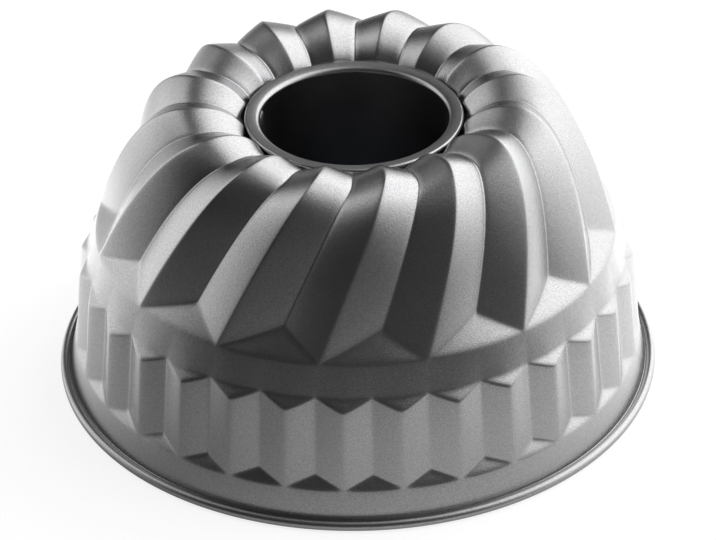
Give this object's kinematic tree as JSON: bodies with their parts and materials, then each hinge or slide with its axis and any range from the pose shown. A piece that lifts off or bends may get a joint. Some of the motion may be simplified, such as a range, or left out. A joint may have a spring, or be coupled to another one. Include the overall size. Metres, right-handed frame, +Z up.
{
  "type": "kugelhopf mould",
  "caption": "Ring-shaped cake mould of coated steel sheet with a twisted fluted crown, fluted skirt, rolled rim and open centre tube, standing mouth down.",
  "frame": {"origin": "middle of the rim's underside, on the table that the mould stands on", "axes": "+Z up along the tube's axis, from the mouth to the crown; the pictured side faces -Y"},
  "size_m": [0.2198, 0.2198, 0.1095],
  "materials": {
    "coated_sheet": "satin metallic grey non-stick coating with fine grain",
    "steel_wire": "drawn steel wire, hidden in the rim"
  },
  "bodies": {
    "root": {"fluted_shell": "coated_sheet", "centre_tube": "coated_sheet", "rim_wire": "steel_wire"}
  },
  "joints": []
}
